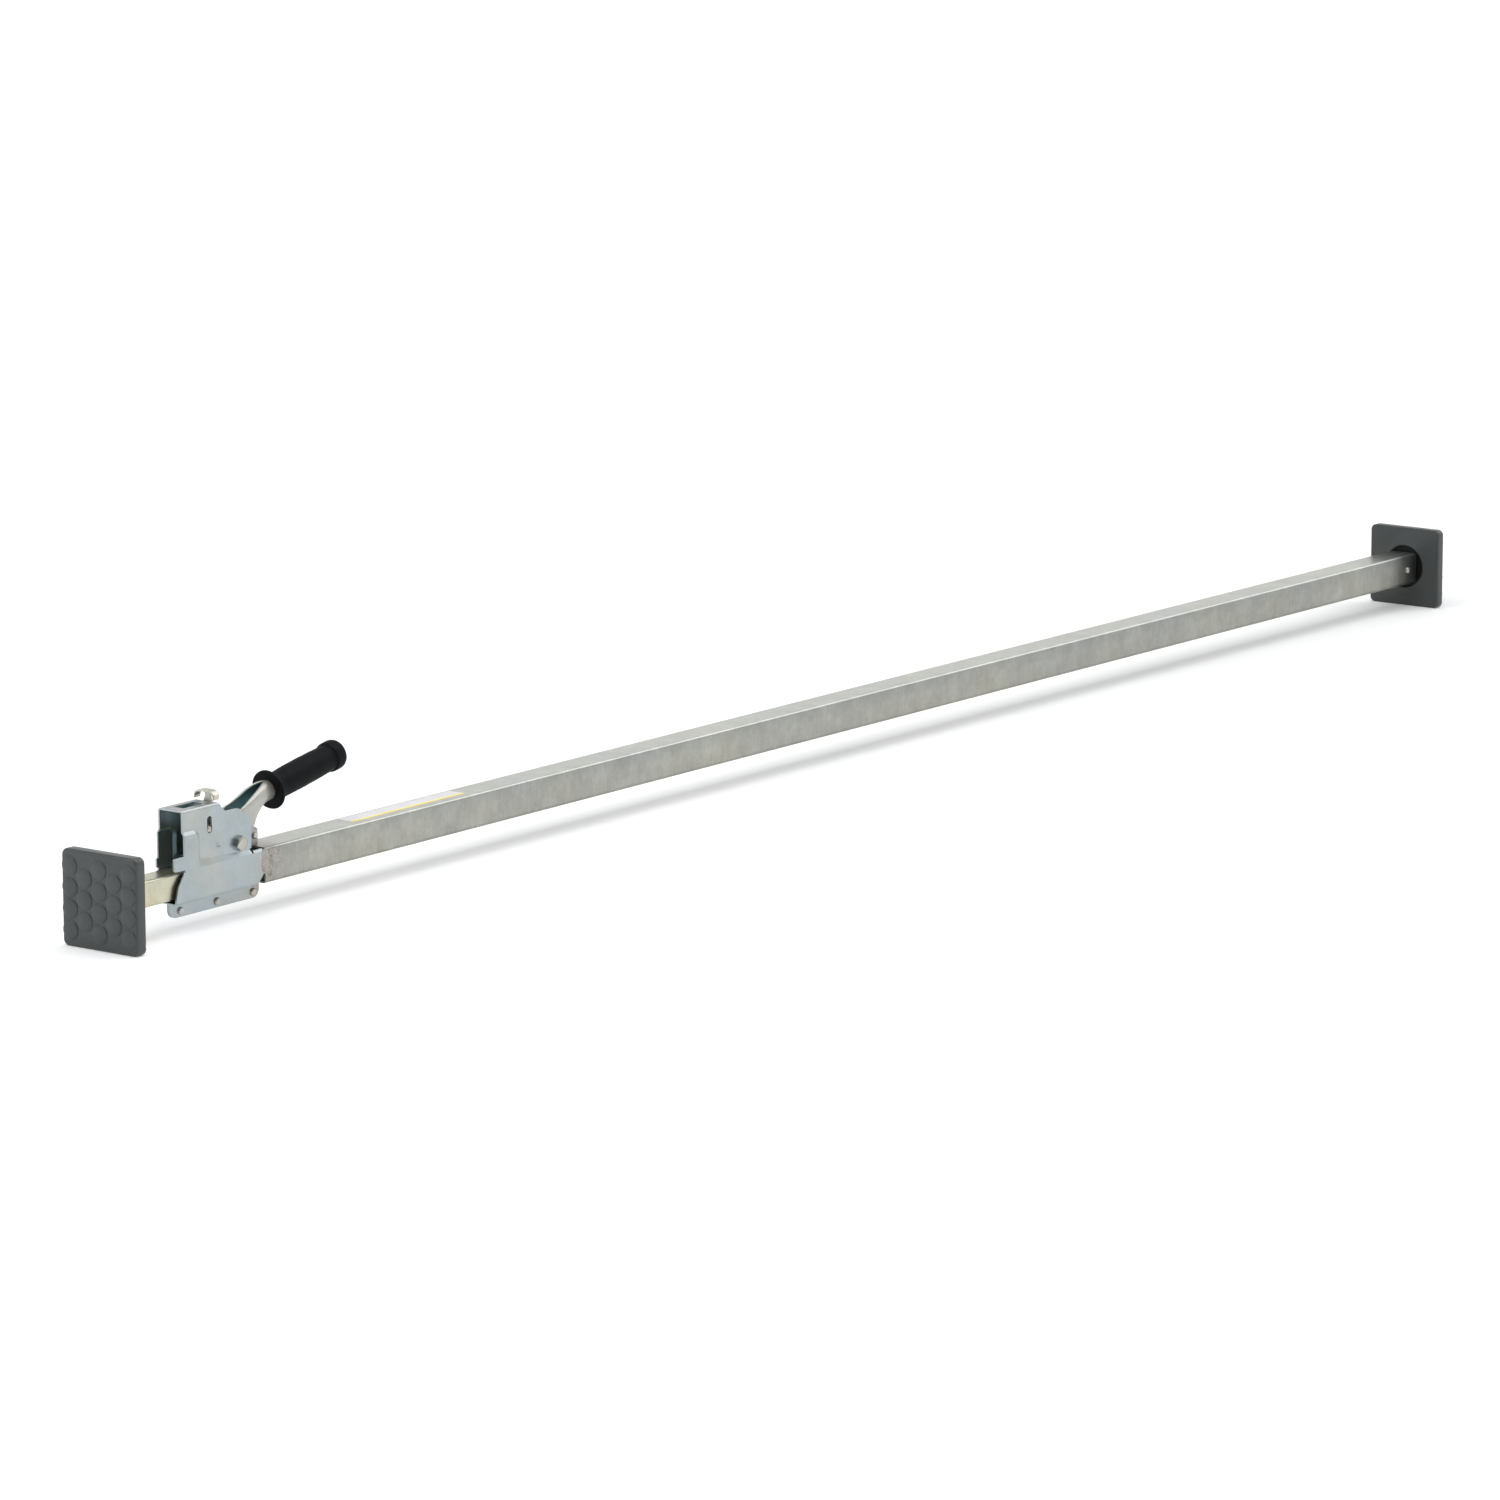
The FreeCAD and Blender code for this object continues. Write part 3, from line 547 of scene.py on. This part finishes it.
def rounded_square(half, corner, steps=9, straights=14):
    """Points round a square with rounded corners, as (y, z)."""
    points = []
    for turn in range(4):
        sy = (1, -1, -1, 1)[turn]
        sz = (1, 1, -1, -1)[turn]
        for i in range(steps + 1):
            angle = math.pi / 2 * (turn + i / steps)
            y = sy * (half - corner) + corner * math.cos(angle)
            z = sz * (half - corner) + corner * math.sin(angle)
            points.append((y, z))
        last = points[-1]
        along = ((-1, 0), (0, -1), (1, 0), (0, 1))[turn]
        for i in range(1, straights):
            reach = 2 * (half - corner) * i / straights
            points.append((last[0] + along[0] * reach, last[1] + along[1] * reach))
    return points


def pad_shapes(place):
    """The rubber foot: a soft-edged slab with low domed studs in front and a lipped round pocket behind."""
    rings = []
    for i in range(7):
        angle = math.pi / 2 * i / 6
        inset = PAD_FRONT_RIM * (1 - math.sin(angle))
        rings.append((inset, PAD_FRONT + PAD_FRONT_RIM * (1 - math.cos(angle))))
    for i in range(5):
        angle = math.pi / 2 * i / 4
        inset = PAD_BACK_RIM * (1 - math.cos(angle))
        rings.append((inset, PAD_BACK - PAD_BACK_RIM * (1 - math.sin(angle))))
    outlines = []
    for inset, x in rings:
        outlines.append([(x, y, z) for y, z in rounded_square(PAD_HALF - inset, PAD_CORNER - inset)])
    edge = outlines[0]
    for outside, x in POCKET_LIP:
        radius = POCKET_RADIUS + outside
        ring = []
        for _, y, z in edge:
            size = math.hypot(y, z)
            ring.append((PAD_BACK + x, y * radius / size, z * radius / size))
        outlines.append(ring)
    shapes = [lofted([[place(*v) for v in ring] for ring in outlines])]
    for column, count in enumerate(STUD_COLUMNS):
        for row in range(count):
            y = (column - (len(STUD_COLUMNS) - 1) / 2) * STUD_ACROSS
            z = (row - (count - 1) / 2) * STUD_UP
            shapes.append(turned(STUD, lambda a, u, v, y=y, z=z: place(a, y + u, z + v), 40))
    return joined(shapes)


def make_pads():
    """Both feet. The fixed one is the sliding one's mirror image at the bar's other end."""
    near = pad_shapes(lambda x, y, z: (x, y, z))
    piece("sliding_foot_pad_skin", *near, "sliding_foot_pad", "sliding_foot", "pad_rubber")
    far = pad_shapes(lambda x, y, z: (BAR_LENGTH - x, y, z))
    piece("fixed_foot_pad_skin", *far, "fixed_foot_pad", "fixed_foot", "pad_rubber")


GRIP_START = (263.5, 73.1)
GRIP_SLOPE = math.radians(11.1)
# Distance along the grip and radius, from the mouth of its bore to its closed end.
GRIP_PROFILE = [
    (0.4, 9.5), (0.0, 12.0), (0.5, 17.0), (0.2, 20.2), (1.4, 21.3), (3.4, 21.4), (4.9, 20.4), (5.4, 17.4),
    (7.2, 15.6), (11, 14.9), (18, 14.7), (30, 15.05), (42, 15.2), (56, 15.25), (70, 15.0), (84, 14.75),
    (94, 14.5), (97.4, 14.4), (97.9, 15.4), (98.6, 16.3), (101.5, 16.4), (106, 16.4), (109.8, 16.2),
    (112.5, 15.3), (114.6, 13.3), (115.6, 11.6), (115.3, 10.8), (115.9, 9.0), (116.4, 5.0), (116.5, 0.05),
]
GRIP_RIPPLE = 0.22
# The lever's end inside the grip, in the same measures.
LEVER_CORE = [(0.5, 9.4), (2.0, 9.4), (60, 9.4), (102, 9.4), (102, 6.0), (10, 6.0)]


def on_grip(along, across, up):
    """A point of the working frame, from distances along the grip's axis, across it and above it."""
    x = GRIP_START[0] + along * math.cos(GRIP_SLOPE) - up * math.sin(GRIP_SLOPE)
    z = GRIP_START[1] + along * math.sin(GRIP_SLOPE) + up * math.cos(GRIP_SLOPE)
    return x, across, z


def make_grip():
    """Soft grip: a thin guard collar, a barrel with a shallow waist, and a rolled rim round a dished end."""
    skin = turned(eased(GRIP_PROFILE), on_grip, 96, GRIP_RIPPLE)
    piece("grip_skin", *skin, "grip", "lever", "grip_rubber")


# Lever: stations from the hub to the neck, each with the top and bottom of its section in x and z, its half
# width, how square it is (2 is round) and half the gap between its two upper edges.
LEVER_STATIONS = [
    ((187.5, 44.0), (215.8, 41.5), 13.0, 9.0, 12.6),
    ((196.5, 57.5), (223.0, 42.0), 13.0, 9.0, 12.4),
    ((206.0, 64.0), (229.6, 43.0), 13.0, 8.0, 11.6),
    ((215.5, 67.2), (232.4, 47.5), 13.0, 6.0, 10.0),
    ((227.5, 72.6), (236.6, 53.4), 13.0, 4.6, 8.2),
    ((238.0, 78.2), (242.4, 58.2), 12.7, 3.6, 7.2),
    ((247.0, 82.2), (249.8, 60.8), 12.0, 2.8, 5.2),
    ((254.6, 84.2), (257.4, 62.0), 11.1, 2.3, 2.6),
    ((260.8, 84.4), (264.4, 62.8), 10.5, 2.0, 0.5),
    ((268.0, 85.2), (271.4, 64.6), 10.3, 2.0, 0.3),
]
LEVER_SHEET = 2.4
PIVOT = (198.8, 30.0)
PIVOT_BORE = 4.83
CHEEK = 13.0                             # the cheeks' outer faces from the middle
HUB_RADIUS = 14.8
HUB_SWELL = 8.5                          # how much further the hub reaches where it meets the neck
HUB_SWELL_DEGREES = (20, 175)


def between(stations, t):
    """The station at t from 0 to 1, on a smooth curve through all of them."""
    flat = [(*top, *low, *rest) for top, low, *rest in stations]
    where = t * (len(flat) - 1)
    i = min(int(where), len(flat) - 2)
    f = where - i
    before, a, b, after = flat[max(i - 1, 0)], flat[i], flat[i + 1], flat[min(i + 2, len(flat) - 1)]
    values = []
    for p, q, r, s in zip(before, a, b, after):
        bend = 2 * p - 5 * q + 4 * r - s
        twist = 3 * q - p - 3 * r + s
        values.append(0.5 * (2 * q + (r - p) * f + bend * f * f + twist * f ** 3))
    return values


def lever_section(station, steps=44):
    """Outer and inner points of the lever's open section, from its near edge round to its far one."""
    top_x, top_z, low_x, low_z, half, square, gap = station
    rise = math.hypot(top_x - low_x, top_z - low_z) / 2
    up_x, up_z = (top_x - low_x) / (2 * rise), (top_z - low_z) / (2 * rise)
    middle_x, middle_z = (top_x + low_x) / 2, (top_z + low_z) / 2
    power = 2 / square
    start = math.acos(max(0.0, min(1.0, gap / half)) ** (1 / power))
    outer = []
    for i in range(steps + 1):
        angle = start - (math.pi + 2 * start) * i / steps
        cos, sin = math.cos(angle), math.sin(angle)
        across = -math.copysign(abs(cos) ** power, cos) * half
        outer.append((across, math.copysign(abs(sin) ** power, sin) * rise))
    inner = []
    for i, (u, v) in enumerate(outer):
        u0, v0 = outer[max(i - 1, 0)]
        u1, v1 = outer[min(i + 1, steps)]
        size = math.hypot(u1 - u0, v1 - v0)
        inner.append((u - (v1 - v0) / size * LEVER_SHEET, v + (u1 - u0) / size * LEVER_SHEET))
    return [[(middle_x + up_x * v, u, middle_z + up_z * v) for u, v in side] for side in (outer, inner)]


def cheek(side):
    """The flat hub of one cheek, round the pivot's bore, with its faces just inside the swept part's."""
    start, end = HUB_SWELL_DEGREES
    outline = []
    for i in range(72):
        angle = 2 * math.pi * i / 72
        degrees = math.degrees(angle)
        reach = HUB_RADIUS
        if start < degrees < end:
            reach += HUB_SWELL * math.sin(math.radians((degrees - start) / (end - start) * 180)) ** 2
        outline.append((math.cos(angle), math.sin(angle), reach))
    outside = CHEEK - 0.15
    inside = CHEEK - LEVER_SHEET + 0.2
    rings = []
    for y, inset, bore in ((outside, 0.5, 0), (CHEEK - 0.5, 0.1, 0), (inside, 0.1, 0), (inside, 0, 1),
                           (outside, 0, 1), (outside, 0.5, 0)):
        ring = []
        for cos, sin, reach in outline:
            radius = PIVOT_BORE if bore else reach - inset
            ring.append((PIVOT[0] + cos * radius, side * y, PIVOT[1] + sin * radius))
        rings.append(ring)
    return lofted(rings, closed_ends=False)


def make_lever():
    """Pressed channel with a flat hub, whose edges roll in and meet on top of a round neck."""
    count = 56
    sections = [lever_section(between(LEVER_STATIONS, i / count)) for i in range(count + 1)]
    rings = [outer + inner[::-1] for outer, inner in sections]
    shapes = [lofted(rings), cheek(-1), cheek(1), turned(LEVER_CORE, on_grip, 32)]
    made = piece("lever_channel", *joined(shapes), "lever", "lever", "zinc_plate")
    made.data.materials[0] = materials["lever_zinc"]


FLANGE_RIVETS = ((122.3, -29.8), (179.2, -29.8), (235.8, -29.8))
TAIL_RIVET = (240.0, 29.5)
FLANGE_HALF = 2.1                        # half the thickness of the sheets that the rivets join
FOOT_RIVET_X = 37.9                      # from the fixed foot's face
FOOT_RIVET_HEAD = [(18.5, 3.9), (19.05, 4.2), (19.7, 4.2), (21.2, 3.6), (22.0, 2.2), (22.05, 0.05)]


def both_heads(head, x, z):
    """The two heads of a rivet across the bar, from one head's distances from the middle and radii."""
    shapes = []
    for side in (-1, 1):
        shapes.append(turned(head, lambda a, u, v, side=side: (x + u, side * a, z + v), 32))
    return shapes


def flat_head(half, radius, rise):
    """A nearly flat face with rolled edges."""
    return eased([(half - 0.6, radius - 0.3), (half, radius), (half + rise * 0.45, radius),
                  (half + rise * 0.9, radius * 0.80), (half + rise, radius * 0.62), (half + rise, 0.05)])


def make_rivets():
    """The rivets of the jack and of the fixed foot."""
    flange_head = flat_head(FLANGE_HALF, 4.2, 2.5)
    flange = [shape for x, z in FLANGE_RIVETS for shape in both_heads(flange_head, x, z)]
    piece("flange_rivet_heads", *joined(flange), "flange_rivets", "bar", "rivet_steel")
    foot = both_heads(eased(FOOT_RIVET_HEAD), BAR_LENGTH - FOOT_RIVET_X, 0)
    piece("fixed_foot_rivet_heads", *joined(foot), "fixed_foot_rivet", "bar", "rivet_steel")
    tail = both_heads(flat_head(FLANGE_HALF, 3.8, 2.3), *TAIL_RIVET)
    piece("tail_rivet_heads", *joined(tail), "tail_rivet", "bar", "rivet_steel")


WELD_LOW = -8.4
WELD_HEIGHT = 26.9
WELD_BLOB = 16.4                         # the blob's height above the axis
WELD_HALF_WIDTH = 5.4
WELD_RINGS = 110


def make_welds():
    """A broad lumpy bead up each side, where the jack's tongue meets the tube, with a blob at its top."""
    shapes = []
    for side in (-1, 1):
        rings = []
        for i in range(WELD_RINGS + 1):
            t = i / WELD_RINGS
            z = WELD_LOW + WELD_HEIGHT * t
            lump = noise.noise(Vector((z * 0.5, side * 3.1, 0.4)))
            lump += 0.5 * noise.noise(Vector((z * 1.5, side, 2.0)))
            blob = math.exp(-((z - WELD_BLOB) / 2.0) ** 2)
            wide = WELD_HALF_WIDTH + 1.5 * lump + 0.4 * blob
            end = min(1.0, 7 * t, 7 * (1 - t)) ** 0.5
            middle = WELD_X + 1.0 * noise.noise(Vector((z * 0.25, side * 5.0, 7.0)))
            ring = []
            for j in range(25):
                u = -1 + j / 12
                pit = noise.noise(Vector((z * 0.9, u * 3.4, side * 9.0)))
                pit += 0.6 * noise.noise(Vector((z * 2.3, u * 8, side)))
                rise = (1 - u * u) * (0.42 + 0.14 * lump + 0.32 * blob) + 0.16 * pit * (1 - abs(u)) - 0.04
                ring.append((middle + wide * end * u, side * (TUBE_HALF + rise * end), z))
            for u in (0.3, -0.3):
                ring.append((middle + wide * end * u, side * 17.4, z))
            rings.append(ring)
        shapes.append(lofted(rings))
    piece("weld_bead_metal", *joined(shapes), "weld_beads", "bar", "weld_metal")


CROSS_PIN = (153.5, 52.0)
CROSS_PIN_HALF = [(0, 3.3), (15.9, 3.3), (16.4, 3.0), (16.75, 2.2), (16.9, 0.03)]


def make_cross_pin():
    """The release's pin, with its ends domed."""
    profile = [(-a, r) for a, r in CROSS_PIN_HALF[:0:-1]] + CROSS_PIN_HALF
    rod = turned(profile, lambda a, u, v: (CROSS_PIN[0] + u, a, CROSS_PIN[1] + v), 40)
    piece("cross_pin_rod", *rod, "cross_pin", "release", "bolt_steel")


def dress_nodes():
    """Every CAD node that is shown gets its slot's material."""
    slots = {part["node"]: part["material_slot"] for part in frame["record"]["subparts"]}
    for name, node in frame["nodes"].items():
        node.data.materials.clear()
        node.data.materials.append(materials[slots[name]])


make_camera()
make_lights()
make_floor()
materials = make_materials()
dress_nodes()
make_pads()
make_grip()
make_lever()
make_rivets()
make_welds()
make_cross_pin()
